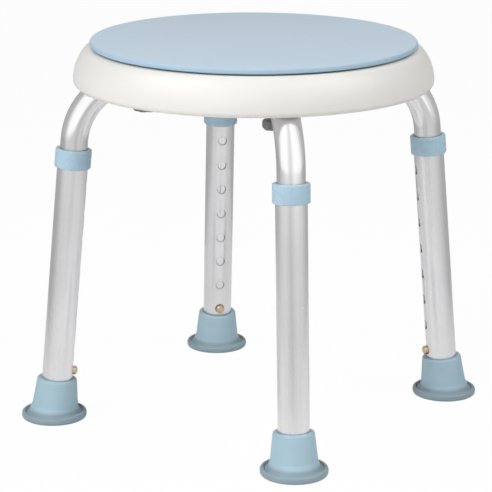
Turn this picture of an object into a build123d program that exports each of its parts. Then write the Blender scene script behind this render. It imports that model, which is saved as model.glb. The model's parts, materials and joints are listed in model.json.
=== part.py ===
from build123d import *
import os
from math import cos, radians, sin, sqrt

# Shower stool: a round hollow seat with a turning top plate, on four splayed legs
# whose lengths are set by spring buttons in rows of holes.
# Millimetres, +Z up, floor at Z = 0, stool axis on Z, legs on the diagonals.
# A leg is modelled in the plane Y = 0, outwards along +X, then turned to its bearing.

# Stance
seat_height = 350.0  # floor to the top of the plate, with the legs pushed right in
leg_splay = 5.0  # degrees between a leg and the vertical
foot_circle_radius = 188.0  # stool axis to a leg's axis, on the floor
leg_bearings = {"front": -45.0, "right": 45.0, "back": 135.0, "left": 225.0}

# Fits
push_clearance = 0.05  # radial, between pieces pushed together for good
running_clearance = 0.05  # radial or axial, where a pivot turns
slide_clearance = 0.3  # radial, between the two tubes of a leg
play = 0.3  # axial play of the pivot, and room around pieces that must not rub

# Leg tubes
lower_tube_diameter = 28.0
lower_tube_wall = 1.2
upper_tube_wall = 1.5
bend_radius = 60.0  # centre line of the upper tube's bend

# Height holes, all on the side that faces the stool axis
hole_diameter = 8.8
hole_pitch = 25.4
lowest_hole_above_foot = 7.3
highest_hole_below_end = 24.0  # least distance from a hole to the end of the lower tube
tube_below_button = 20.0  # upper tube below its button hole

# Foot
foot_height = 38.0  # along the leg, floor to the lip
foot_lip_diameter = 36.5
foot_lip_round = 2.2
foot_lip_chamfer = 0.6  # inside the lip, around the tube
foot_cone_diameter = 45.0  # where the cone meets the floor
foot_floor_thickness = 7.0  # rubber under the foot washer, along the leg
flange_diameter = 60.0
flange_edge = 6.4
flange_round = 1.6
flange_bead_width = 3.8
flange_bead_rise = 2.4
flange_root_rise = 5.0  # how far the hollow curve climbs the cone
sole_groove_width = 2.0
sole_groove_depth = 1.2
sole_groove_share = (0.5, 0.74)  # groove radii as shares of the flange's radius
foot_washer_thickness = 1.5

# Collar
collar_diameter = 33.0
collar_height = 17.6
collar_lip = 2.0  # over the end of the lower tube
collar_round = 3.0
collar_to_bend = 8.4  # collar top to the start of the bend

# Snap button and its spring clip
button_clearance = 0.3  # radial, in the holes
button_proud = 4.0  # beyond the lower tube
button_flange_extra = 1.0  # radial
button_flange_thickness = 1.2
clip_thickness = 0.8
clip_width = 8.0
clip_below_button = 7.5
clip_straight = 9.0  # above the button's centre, before the arms lean together
clip_lean = 26.0  # height over which the arms lean together
clip_top_width = 8.0
clip_gap = 0.1  # between the clip and the button's flange

# Seat shell
seat_diameter = 328.6
seat_depth = 33.9
seat_wall = 3.2
rim_taper = 12.5  # how much nearer to the axis the rim's top is than its widest part
rim_top_round = 10.0
rim_bottom_round = 4.5
tube_sink = 7.9  # seat underside up to the centre line of the tubes
channel_clearance = 0.3
blow_hole_diameter = 6.0
blow_hole_radius = 108.0
blow_hole_bearings = (0.0, 90.0, 180.0, 270.0)

# Swivel plate and glide ring
plate_diameter = 297.6
plate_thickness = 5.0
plate_gap = 1.2  # seat top to plate underside
plate_top_round = 2.0
plate_bottom_round = 1.4
pocket_depth = 2.0  # between the ribs under the plate
rib_count = 12
rib_width = 4.0
rib_ring_width = 6.0  # solid ring between the hub and the pockets
glide_radius = 120.0
glide_width = 8.0
glide_groove_depth = 1.2
glide_track_margin = 4.0  # flat under the plate each side of the glide ring

# Pivot
hub_radius = 14.0
hub_depth = 5.0
hub_room = 2.0  # radial, between the hub and its recess
insert_radius = 5.5
insert_length = 8.0
pivot_thread_radius = 3.0
pivot_thread_length = 7.0
pivot_shoulder_radius = 4.0
bush_wall = 1.5
bush_flange_radius = 9.0
bush_flange_thickness = 1.5
bush_proud = 0.2  # below the boss
boss_thickness = 9.0
pivot_washer_radius = 11.0
pivot_washer_thickness = 1.5
pivot_head_radius = 7.0
pivot_head_height = 4.0
pivot_socket_radius = 2.9  # across corners, half
pivot_socket_depth = 2.4
well_room = 5.0  # radial, between the pivot washer and the well

# Upper tube's horizontal run and its hand knob
stud_from_bend = 6.0  # stud axis to the inner end of the bend
run_past_stud = 37.0
plug_cap_thickness = 2.5
plug_shank_length = 12.0
channel_end_room = 2.0
stud_radius = 4.0
stud_hole_room = 0.4  # radial, in the tube
thread_clearance = 0.1  # radial, stud in its nut
nut_radius = 6.5
nut_length = 10.0
stud_short_of_nut = 1.0  # stud end below the nut's upper end
saddle_radius = 8.0
saddle_thickness = 1.5
saddle_wrap = 2.0  # how far the saddle climbs the tube
saddle_clearance = 0.1
knob_gap = 0.1  # saddle to knob
knob_diameter = 24.0
knob_head_height = 8.5
knob_neck_height = 8.0
knob_neck_radius = 7.0
knob_flutes = 6
knob_flute_radius = 3.2
knob_flute_depth = 2.6
knob_flute_round = 1.6
knob_edge_round = 2.0
knob_floor = 3.0  # plastic under the stud's head end

# Derived: tubes
splay = radians(leg_splay)
lower_tube_radius = lower_tube_diameter / 2
lower_tube_bore = lower_tube_radius - lower_tube_wall
upper_tube_radius = lower_tube_bore - slide_clearance
upper_tube_bore = upper_tube_radius - upper_tube_wall

# Derived: levels of the seat and the plate
plate_bottom = seat_height - plate_thickness
seat_top = plate_bottom - plate_gap
seat_bottom = seat_top - seat_depth
hub_bottom = plate_bottom - hub_depth
bush_top = hub_bottom - play
recess_bottom = bush_top - bush_flange_thickness
boss_bottom = recess_bottom - boss_thickness
bush_bottom = boss_bottom - bush_proud
pivot_washer_top = bush_bottom - play
pivot_washer_bottom = pivot_washer_top - pivot_washer_thickness

# Derived: path of the upper tube
run_height = seat_bottom + tube_sink
bend_start = (run_height - bend_radius * (1 - sin(splay))) / cos(splay)
run_start = foot_circle_radius - bend_start * sin(splay) - bend_radius * cos(splay)
stud_axis = run_start - stud_from_bend
run_end = stud_axis - run_past_stud

# Derived: places along a leg, measured from the floor
lower_tube_start = foot_floor_thickness + foot_washer_thickness
collar_top = bend_start - collar_to_bend
lower_tube_end = collar_top - collar_lip
lowest_hole = foot_height + lowest_hole_above_foot
hole_count = 1 + int((lower_tube_end - highest_hole_below_end - lowest_hole) / hole_pitch)
upper_tube_start = lowest_hole - tube_below_button

# Derived: hand knob levels
tube_underside = run_height - upper_tube_radius
saddle_bottom = tube_underside - saddle_thickness
knob_top = saddle_bottom - knob_gap
knob_head_top = knob_top - knob_neck_height
knob_bottom = knob_head_top - knob_head_height
nut_bottom = run_height + upper_tube_radius + channel_clearance
nut_top = nut_bottom + nut_length


def disc(radius, bottom, top):
    """Upright cylinder on the local Z axis."""
    upright = (Align.CENTER, Align.CENTER, Align.MIN)
    return Pos(0, 0, bottom) * Cylinder(radius, top - bottom, align=upright)


def ring(outer, inner, bottom, top):
    """Upright ring on the local Z axis."""
    return disc(outer, bottom, top) - disc(inner, bottom, top)


def on_leg(distance):
    """Point on the leg's axis, at a distance from the floor along it."""
    return (foot_circle_radius - distance * sin(splay), 0, distance * cos(splay))


leg_direction = (-sin(splay), 0, cos(splay))
towards_axis = (-cos(splay), 0, -sin(splay))
leg_plane = Plane(origin=on_leg(0), x_dir=towards_axis, z_dir=leg_direction)


def button_bore(distance, radius, near, far):
    """Cylinder square to the leg, towards the stool axis, in the leg's own plane."""
    return Pos(0, 0, distance) * Rot(Y=90) * disc(radius, near, far)


def bend_arc():
    """Arc of the upper tube's centre line, from the leg to the horizontal run."""
    return TangentArc(on_leg(bend_start), (run_start, 0, run_height), tangent=leg_direction)


def bent_rod(radius, start, end):
    """Solid round bar along the upper tube, from a place on the leg to a radius."""
    path = Wire([
        Line(on_leg(start), on_leg(bend_start)),
        bend_arc(),
        Line((run_start, 0, run_height), (end, 0, run_height)),
    ])
    section = Plane(origin=on_leg(start), z_dir=leg_direction) * Circle(radius)
    return sweep(section, path=path)


def tube_channel(half_width, end):
    """Passage for the upper tube, round above its centre line and open below it."""
    corner = on_leg(bend_start)
    below = make_face([
        Line((end, 0, run_height), (run_start, 0, run_height)),
        bend_arc(),
        Line(corner, (end, 0, corner[2])),
        Line((end, 0, corner[2]), (end, 0, run_height)),
    ])
    return bent_rod(half_width, bend_start - half_width, end) + extrude(below, half_width, both=True)


def round_legs(shape):
    """Copies of a leg's shape at the four bearings."""
    return [Rot(Z=bearing) * shape for bearing in leg_bearings.values()]


# Seat and plate

def seat_outline():
    """Half section of the seat's outside, from the axis to the rim."""
    widest = seat_diameter / 2
    shoulder = (widest - rim_taper, 0, seat_top)
    belt = (widest, 0, seat_bottom + rim_bottom_round)
    toe = (widest - rim_bottom_round, 0, seat_bottom)
    outline = make_face([
        Line((0, 0, seat_top), shoulder),
        TangentArc(belt, shoulder, tangent=(0, 0, 1)),
        TangentArc(belt, toe, tangent=(0, 0, -1)),
        Line(toe, (0, 0, seat_bottom)),
        Line((0, 0, seat_bottom), (0, 0, seat_top)),
    ])
    corner = outline.vertices().sort_by_distance(shoulder)[0]
    return fillet(corner, rim_top_round)


def make_seat_shell():
    """Hollow seat with four tube channels, a pivot boss and nut pockets."""
    outline = seat_outline()
    well_radius = pivot_washer_radius + well_room
    core_radius = max(well_radius, hub_radius + hub_room) + seat_wall
    channel_half = upper_tube_radius + channel_clearance
    channel_end = run_end - plug_cap_thickness - channel_end_room
    nut_pocket = Pos(stud_axis, 0, 0) * disc(nut_radius + push_clearance, run_height, nut_top)
    nut_boss = Pos(stud_axis, 0, 0) * disc(nut_radius + seat_wall, seat_bottom, seat_top)
    kept = [disc(core_radius, seat_bottom, seat_top)]
    kept += round_legs(tube_channel(channel_half + seat_wall, channel_end - seat_wall))
    kept += round_legs(nut_boss)
    hollow = revolve(offset(outline, -seat_wall), Axis.Z) - kept
    cuts = [hollow]
    cuts += round_legs(tube_channel(channel_half, channel_end))
    cuts += round_legs(nut_pocket)
    cuts.append(disc(hub_radius + hub_room, recess_bottom, seat_top))
    cuts.append(disc(well_radius, seat_bottom, boss_bottom))
    cuts.append(disc(pivot_shoulder_radius + running_clearance + bush_wall + push_clearance,
                     boss_bottom, recess_bottom))
    cuts.append(ring(glide_radius + glide_width / 2 + push_clearance,
                     glide_radius - glide_width / 2 - push_clearance,
                     seat_top - glide_groove_depth, seat_top))
    blow_hole = disc(blow_hole_diameter / 2, seat_bottom, seat_bottom + seat_wall)
    cuts += [Rot(Z=bearing) * Pos(blow_hole_radius, 0, 0) * blow_hole for bearing in blow_hole_bearings]
    return revolve(outline, Axis.Z) - cuts


def make_swivel_plate():
    """Round plate with a rolled edge, ribs underneath and a hub for the pivot."""
    plate = disc(plate_diameter / 2, plate_bottom, seat_height)
    edges = plate.edges().sort_by(Axis.Z)
    plate = fillet(edges[-1], plate_top_round)
    plate = fillet(plate.edges().sort_by(Axis.Z)[0], plate_bottom_round)
    track_inside = glide_radius - glide_width / 2 - glide_track_margin
    pocket_top = plate_bottom + pocket_depth
    pockets = ring(track_inside, hub_radius + rib_ring_width, plate_bottom, pocket_top)
    rib = Box(track_inside, rib_width, pocket_depth, align=(Align.MIN, Align.CENTER, Align.MAX))
    rib = Pos(0, 0, pocket_top) * rib
    pockets -= [Rot(Z=360 * number / rib_count) * rib for number in range(rib_count)]
    hub = disc(hub_radius, hub_bottom, plate_bottom)
    insert_pocket = disc(insert_radius + push_clearance, hub_bottom, hub_bottom + insert_length)
    return plate - pockets + hub - insert_pocket


def make_glide_ring():
    """Low-friction ring let into the seat, just under the plate."""
    return ring(glide_radius + glide_width / 2, glide_radius - glide_width / 2,
                seat_top - glide_groove_depth, plate_bottom - running_clearance)


def make_plate_insert():
    """Threaded insert moulded into the plate's hub."""
    return ring(insert_radius, pivot_thread_radius + push_clearance,
                hub_bottom, hub_bottom + insert_length)


def make_pivot_bush():
    """Flanged bush in the seat's boss."""
    bore = pivot_shoulder_radius + running_clearance
    sleeve = ring(bore + bush_wall, bore, bush_bottom, recess_bottom)
    return sleeve + ring(bush_flange_radius, bore, recess_bottom, bush_top)


def make_pivot_screw():
    """Shoulder screw from below, seated on the insert."""
    head = disc(pivot_head_radius, pivot_washer_bottom - pivot_head_height, pivot_washer_bottom)
    socket = extrude(RegularPolygon(pivot_socket_radius, 6), pivot_socket_depth)
    head -= Pos(0, 0, pivot_washer_bottom - pivot_head_height) * socket
    shoulder = disc(pivot_shoulder_radius, pivot_washer_bottom, hub_bottom)
    return head + shoulder + disc(pivot_thread_radius, hub_bottom, hub_bottom + pivot_thread_length)


def make_pivot_washer():
    """Washer between the screw's head and the bush."""
    return ring(pivot_washer_radius, pivot_shoulder_radius + push_clearance,
                pivot_washer_bottom, pivot_washer_top)


def make_seat_nuts():
    """Insert nuts over the four tube channels."""
    nut = ring(nut_radius, stud_radius + thread_clearance, nut_bottom, nut_top)
    return Compound(children=round_legs(Pos(stud_axis, 0, 0) * nut))


# Legs

def make_upper_tube():
    """Bent tube with a button hole below and a stud hole through its run."""
    tube = bent_rod(upper_tube_radius, upper_tube_start, run_end)
    tube -= bent_rod(upper_tube_bore, upper_tube_start, run_end)
    tube -= leg_plane * button_bore(lowest_hole, hole_diameter / 2, 0, lower_tube_radius)
    stud_hole = disc(stud_radius + stud_hole_room, saddle_bottom, nut_bottom)
    return tube - Pos(stud_axis, 0, 0) * stud_hole


def make_tube_plug():
    """Plug in the inner end of the upper tube."""
    cap = disc(upper_tube_radius, 0, plug_cap_thickness)
    cap = fillet(cap.edges().sort_by(Axis.Z)[-1], plug_cap_thickness / 2)
    plug = cap + disc(upper_tube_bore - push_clearance, -plug_shank_length, 0)
    return Plane(origin=(run_end, 0, run_height), x_dir=(0, 1, 0), z_dir=(-1, 0, 0)) * plug


def make_lower_tube():
    """Straight tube with a row of height holes."""
    tube = ring(lower_tube_radius, lower_tube_bore, lower_tube_start, lower_tube_end)
    places = [lowest_hole + number * hole_pitch for number in range(hole_count)]
    tube -= [button_bore(place, hole_diameter / 2, 0, collar_diameter / 2) for place in places]
    return leg_plane * tube


def make_collar():
    """Collar pushed over the end of the lower tube, guiding the upper tube."""
    collar = disc(collar_diameter / 2, collar_top - collar_height, collar_top)
    collar = fillet(collar.edges().filter_by(GeomType.CIRCLE), collar_round)
    collar -= disc(lower_tube_radius + push_clearance, collar_top - collar_height, lower_tube_end)
    collar -= disc(upper_tube_radius + slide_clearance, lower_tube_end, collar_top)
    return leg_plane * collar


def flange_outline():
    """Half section of the foot's flange: beaded edge and a hollow curve up to the cone."""
    radius = flange_diameter / 2
    bead_top = (radius - flange_round, 0, flange_edge)
    groove = (radius - flange_bead_width, 0, flange_edge - flange_bead_rise)
    root = (foot_cone_diameter / 2 - flange_round, 0, groove[2] + flange_root_rise)
    return make_face([
        Line((0, 0, 0), (radius - flange_round, 0, 0)),
        TangentArc((radius - flange_round, 0, 0), (radius, 0, flange_round), tangent=(1, 0, 0)),
        Line((radius, 0, flange_round), (radius, 0, flange_edge - flange_round)),
        TangentArc((radius, 0, flange_edge - flange_round), bead_top, tangent=(0, 0, 1)),
        Line(bead_top, groove),
        TangentArc(groove, root, tangent=(-1, 0, 0)),
        Line(root, (0, 0, root[2])),
        Line((0, 0, root[2]), (0, 0, 0)),
    ])


def make_foot():
    """Rubber foot: a cone along the leg on a flat flange, with a socket for the tube."""
    lip = foot_lip_diameter / 2
    slope = (foot_cone_diameter / 2 - lip) / foot_height
    below = foot_cone_diameter * sin(splay)
    cone = Pos(0, 0, (foot_height - below) / 2) * Cone(
        foot_cone_diameter / 2 + slope * below, lip, foot_height + below)
    cone = fillet(cone.edges().sort_by(Axis.Z)[-1], foot_lip_round)
    under_floor = Pos(foot_circle_radius, 0, -foot_height / 2) * Box(
        2 * flange_diameter, 2 * flange_diameter, foot_height)
    flange = Pos(foot_circle_radius, 0, 0) * revolve(flange_outline(), Axis.Z)
    socket_radius = lower_tube_radius + push_clearance
    socket = disc(socket_radius, foot_floor_thickness, foot_height)
    mouth = Pos(0, 0, foot_height - foot_lip_chamfer / 2) * Cone(
        socket_radius, socket_radius + foot_lip_chamfer, foot_lip_chamfer)
    foot = (leg_plane * cone - under_floor) + flange - leg_plane * (socket + mouth)
    for share in sole_groove_share:
        middle = share * flange_diameter / 2
        groove = ring(middle + sole_groove_width / 2, middle - sole_groove_width / 2, 0, sole_groove_depth)
        foot -= Pos(foot_circle_radius, 0, 0) * groove
    return foot


def make_foot_washer():
    """Steel disc that keeps the tube from cutting into the rubber."""
    return leg_plane * disc(lower_tube_radius, foot_floor_thickness, lower_tube_start)


def flange_face():
    """Outer face of the button's flange, measured from the leg's axis."""
    radius = hole_diameter / 2 - button_clearance + button_flange_extra
    return sqrt(upper_tube_bore**2 - radius**2) - play


def make_snap_button():
    """Domed button with a flange that stops inside the upper tube."""
    radius = hole_diameter / 2 - button_clearance
    tip = lower_tube_radius + button_proud
    pin = disc(radius, flange_face(), tip)
    pin = fillet(pin.edges().sort_by(Axis.Z)[-1], radius / 2)
    pin += disc(radius + button_flange_extra, flange_face() - button_flange_thickness, flange_face())
    return leg_plane * (Pos(0, 0, lowest_hole) * Rot(Y=90) * pin)


def make_snap_clip():
    """Folded spring strip inside the upper tube, behind the button."""
    near = flange_face() - button_flange_thickness - clip_gap
    far = play - sqrt(upper_tube_bore**2 - (clip_width / 2)**2)
    foot_end = lowest_hole - clip_below_button
    knee = lowest_hole + clip_straight
    fold = knee + clip_lean
    middle = (near + far) / 2
    corners = [
        (near, 0, foot_end),
        (near, 0, knee),
        (middle + clip_top_width / 2, 0, fold),
        (middle - clip_top_width / 2, 0, fold),
        (far, 0, knee),
        (far, 0, foot_end),
    ]
    outside = make_face(Polyline(*corners, close=True))
    folds = outside.vertices().sort_by(Axis.Z)[-2:]
    outside = fillet(folds, clip_top_width / 2 - clip_thickness / 2)
    inside = offset(outside, -clip_thickness)
    inside += Pos(0, 0, -2 * clip_thickness) * inside
    return leg_plane * extrude(outside - inside, clip_width / 2, both=True)


# Hand knobs

def make_saddle_washer():
    """Washer shaped to the underside of the tube."""
    block = ring(saddle_radius, stud_radius + push_clearance, saddle_bottom, tube_underside + saddle_wrap)
    tube_room = bent_rod(upper_tube_radius + saddle_clearance, upper_tube_start, run_end)
    return Pos(stud_axis, 0, 0) * block - tube_room


def make_hand_knob():
    """Fluted hand knob with a short neck."""
    radius = knob_diameter / 2
    flute = Pos(radius + knob_flute_radius - knob_flute_depth, 0) * Circle(knob_flute_radius)
    turns = [360 * (number + 0.5) / knob_flutes for number in range(knob_flutes)]
    outline = Circle(radius) - [Rot(Z=turn) * flute for turn in turns]
    outline = fillet(outline.vertices(), knob_flute_round)
    head = Pos(0, 0, knob_bottom) * extrude(outline, knob_head_height)
    rims = head.faces().sort_by(Axis.Z)[0].edges() + head.faces().sort_by(Axis.Z)[-1].edges()
    head = fillet(rims, knob_edge_round)
    knob = head + disc(knob_neck_radius, knob_head_top, knob_top)
    knob -= disc(stud_radius + push_clearance, knob_bottom + knob_floor, knob_top)
    return Pos(stud_axis, 0, 0) * knob


def make_knob_stud():
    """Threaded stud held in the knob, shown without its thread."""
    return Pos(stud_axis, 0, 0) * disc(stud_radius, knob_bottom + knob_floor, nut_top - stud_short_of_nut)


single_pieces = {
    "seat_shell": make_seat_shell,
    "seat_nuts": make_seat_nuts,
    "glide_ring": make_glide_ring,
    "pivot_bush": make_pivot_bush,
    "swivel_plate": make_swivel_plate,
    "plate_insert": make_plate_insert,
    "pivot_screw": make_pivot_screw,
    "pivot_washer": make_pivot_washer,
}

leg_pieces = {
    "upper_tube": make_upper_tube,
    "tube_plug": make_tube_plug,
    "snap_clip": make_snap_clip,
    "snap_button": make_snap_button,
    "lower_tube": make_lower_tube,
    "collar": make_collar,
    "foot": make_foot,
    "foot_washer": make_foot_washer,
    "saddle_washer": make_saddle_washer,
    "hand_knob": make_hand_knob,
    "knob_stud": make_knob_stud,
}

os.makedirs("parts", exist_ok=True)
for name, make in single_pieces.items():
    export_step(make(), f"parts/{name}.step")
for name, make in leg_pieces.items():
    piece = make()
    for place, bearing in leg_bearings.items():
        export_step(Rot(Z=bearing) * piece, f"parts/{name}_{place}.step")
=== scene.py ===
import json
import logging
import math
from dataclasses import dataclass, field
from enum import Enum
from typing import Any, Callable, Optional, Sequence, Union

import bmesh
import bpy
from mathutils import Matrix, Vector

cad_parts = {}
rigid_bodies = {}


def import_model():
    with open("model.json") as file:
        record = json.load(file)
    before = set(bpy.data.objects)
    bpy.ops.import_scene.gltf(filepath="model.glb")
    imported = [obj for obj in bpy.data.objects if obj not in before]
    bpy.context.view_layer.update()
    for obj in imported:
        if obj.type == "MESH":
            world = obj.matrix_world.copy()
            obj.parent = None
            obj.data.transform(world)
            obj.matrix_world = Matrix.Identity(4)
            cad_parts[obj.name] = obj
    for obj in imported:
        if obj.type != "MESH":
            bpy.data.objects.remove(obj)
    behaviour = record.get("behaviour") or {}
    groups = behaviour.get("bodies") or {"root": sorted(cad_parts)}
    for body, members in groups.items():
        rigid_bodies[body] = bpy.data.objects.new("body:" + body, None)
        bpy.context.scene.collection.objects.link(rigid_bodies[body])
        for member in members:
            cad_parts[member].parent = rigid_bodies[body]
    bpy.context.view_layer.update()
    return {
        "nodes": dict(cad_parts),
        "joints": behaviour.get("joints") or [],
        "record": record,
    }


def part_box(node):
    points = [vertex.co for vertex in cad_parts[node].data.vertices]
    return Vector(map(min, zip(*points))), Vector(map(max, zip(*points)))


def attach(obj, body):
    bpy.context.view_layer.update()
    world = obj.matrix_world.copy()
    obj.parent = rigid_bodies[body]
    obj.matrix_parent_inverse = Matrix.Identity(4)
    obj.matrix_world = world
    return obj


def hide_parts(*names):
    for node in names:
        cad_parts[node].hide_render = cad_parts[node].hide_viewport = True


# Looks of the shower stool: turned and swept meshes for the pieces that show most,
# procedural finishes for every piece, and a plain studio around them. Metres throughout.

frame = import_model()
STRAIGHTENED = "straightened"

log = logging.getLogger("shower_stool")

Colour = tuple[float, float, float]
Outline = list[tuple[float, float]]
Place = Callable[[float, float, float], Vector]
SocketValue = Union[float, Sequence[float], bpy.types.NodeSocket]


class Side(Enum):
    """The four legs, by where they stand."""

    FRONT = "front"
    RIGHT = "right"
    BACK = "back"
    LEFT = "left"

    def node(self, piece: str) -> str:
        """Name of this leg's own copy of a piece."""
        return f"{piece}_{self.value}"


class Slot(Enum):
    """Material slots of the record."""

    SEAT = "seat_white"
    PLATE = "plate_blue"
    COLLAR = "collar_blue"
    FOOT = "foot_blue"
    UPPER_TUBE = "upper_tube_bright"
    LOWER_TUBE = "lower_tube_satin"
    KNOB = "knob_grey"
    SADDLE = "saddle_grey"
    PLUG = "plug_grey"
    BUTTON = "button_brass"
    CLIP = "clip_steel"
    FASTENER = "fastener_steel"
    NUT = "nut_brass"
    GLIDE = "glide_white"
    BUSH = "bush_white"


# Mesh making

ARC_ROOM = 0.99
NO_RADIUS = 1e-7


@dataclass(frozen=True)
class Corner:
    """One corner of a turned outline.

    Attributes:
        radius: Distance from the turning axis.
        height: Place along the turning axis.
        rounding: Radius of the arc that takes the corner off.
    """

    radius: float
    height: float
    rounding: float = 0.0

    def point(self) -> Vector:
        """The corner as a flat point."""
        return Vector((self.radius, self.height))


def soften(corners: Sequence[Corner], closed: bool, steps: int = 6) -> Outline:
    """Draws an outline through corners, with an arc at each rounded one.

    Args:
        corners: The corners in order.
        closed: Whether the last corner joins the first.
        steps: Straight steps in each arc.

    Returns:
        The outline's points as (radius, height) pairs.
    """
    outline: Outline = []
    for index, corner in enumerate(corners):
        here = corner.point()
        is_end = not closed and index in (0, len(corners) - 1)
        if is_end or not corner.rounding:
            outline.append((here.x, here.y))
            continue
        before = corners[index - 1]
        after = corners[(index + 1) % len(corners)]
        back = before.point() - here
        ahead = after.point() - here
        half_angle = back.angle(ahead) / 2
        reach = min(
            corner.rounding / math.tan(half_angle),
            back.length * corner.rounding / (corner.rounding + before.rounding) * ARC_ROOM,
            ahead.length * corner.rounding / (corner.rounding + after.rounding) * ARC_ROOM,
        )
        to_centre = (back.normalized() + ahead.normalized()).normalized()
        centre = here + to_centre * (reach / math.cos(half_angle))
        start = here + back.normalized() * reach - centre
        end = here + ahead.normalized() * reach - centre
        sweep = math.atan2(start.x * end.y - start.y * end.x, start.dot(end))
        for step in range(steps + 1):
            angle = sweep * step / steps
            outline.append((
                centre.x + start.x * math.cos(angle) - start.y * math.sin(angle),
                centre.y + start.x * math.sin(angle) + start.y * math.cos(angle),
            ))
    return outline


def held(share: float) -> float:
    """The share, held between nought and one."""
    return min(max(share, 0.0), 1.0)


def eased(share: float) -> float:
    """The share, held between nought and one and eased at both ends."""
    share = held(share)
    return share * share * (3 - 2 * share)


def upright(angle: float, radius: float, height: float) -> Vector:
    """Point of a shape turned about the local Z axis."""
    return Vector((radius * math.cos(angle), radius * math.sin(angle), height))


@dataclass
class Surface:
    """Points and faces of one mesh while it is being built.

    Attributes:
        points: The points.
        faces: Numbers of each face's points.
        straightened: Each point's place on the piece before it was bent, if that is wanted.
    """

    points: list[Vector] = field(default_factory=list)
    faces: list[tuple[int, ...]] = field(default_factory=list)
    straightened: list[Vector] = field(default_factory=list)

    def row(self, points: Sequence[Vector]) -> list[int]:
        """Adds points and returns their numbers."""
        first = len(self.points)
        self.points.extend(points)
        return list(range(first, first + len(points)))

    def strip(self, first: Sequence[int], second: Sequence[int], closed: bool) -> None:
        """Fills between two rows of as many points.

        Args:
            first: Numbers of one row.
            second: Numbers of the next row.
            closed: Whether the rows are rings.
        """
        count = len(first)
        for index in range(count if closed else count - 1):
            after = (index + 1) % count
            self.faces.append((first[index], first[after], second[after], second[index]))

    def fan(self, ring: Sequence[int], tip: int) -> None:
        """Closes a ring with triangles to one point."""
        for index, number in enumerate(ring):
            self.faces.append((number, ring[(index + 1) % len(ring)], tip))

    def turn(self, outline: Outline, segments: int, closed: bool, place: Place = upright) -> None:
        """Turns an outline about an axis.

        Args:
            outline: Points as (radius, height) pairs.
            segments: Steps around the axis.
            closed: Whether the outline is a loop.
            place: Gives the point at an angle, a radius and a height.
        """
        angles = [math.tau * number / segments for number in range(segments)]
        rings: list[list[int]] = []
        for radius, height in outline:
            on_axis = radius < NO_RADIUS
            turned = angles[:1] if on_axis else angles
            rings.append(self.row([place(angle, radius, height) for angle in turned]))
        pairs = list(zip(rings, rings[1:]))
        if closed:
            pairs.append((rings[-1], rings[0]))
        for ring, following in pairs:
            if len(ring) == 1:
                self.fan(following, ring[0])
            elif len(following) == 1:
                self.fan(ring, following[0])
            else:
                self.strip(ring, following, closed=True)

    def swing(self, place: Matrix) -> None:
        """Turns the points as a place's axes stand, so that the object itself needs no turn."""
        turn = place.to_3x3()
        self.points = [turn @ point for point in self.points]

    def make(self, name: str, place: Matrix, sharp_from: float = 35.0) -> bpy.types.Object:
        """Makes the object, with smooth shading up to an angle.

        Args:
            name: Name of the object.
            place: The object's place in the stool's frame.
            sharp_from: Angle between faces, in degrees, from which an edge stays sharp.

        Returns:
            The new object, linked to the scene.
        """
        mesh = bpy.data.meshes.new(name)
        mesh.from_pydata([tuple(point) for point in self.points], [], self.faces)
        mesh.validate()
        face_outwards(mesh)
        mesh.shade_smooth()
        mesh.set_sharp_from_angle(angle=math.radians(sharp_from))
        if self.straightened:
            layer = mesh.attributes.new(STRAIGHTENED, "FLOAT_VECTOR", "POINT")
            for number, point in enumerate(self.straightened):
                layer.data[number].vector = point
        made = bpy.data.objects.new(name, mesh)
        made.matrix_world = place
        bpy.context.scene.collection.objects.link(made)
        return made


def face_outwards(mesh: bpy.types.Mesh) -> None:
    """Turns every face of a closed mesh outwards."""
    edit = bmesh.new()
    edit.from_mesh(mesh)
    bmesh.ops.recalc_face_normals(edit, faces=edit.faces)
    edit.to_mesh(mesh)
    edit.free()


# Shader building

UNIT = (0.0, 1.0)
FADING = (1.0, 0.0)
NOISE_SPAN = (0.3, 0.7)
WHITE = (1.0, 1.0, 1.0, 1.0)

# Sockets of a Mix node that belong to colours.
MIX_SHARE, MIX_FIRST, MIX_SECOND, MIX_RESULT = 0, 6, 7, 2


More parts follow.
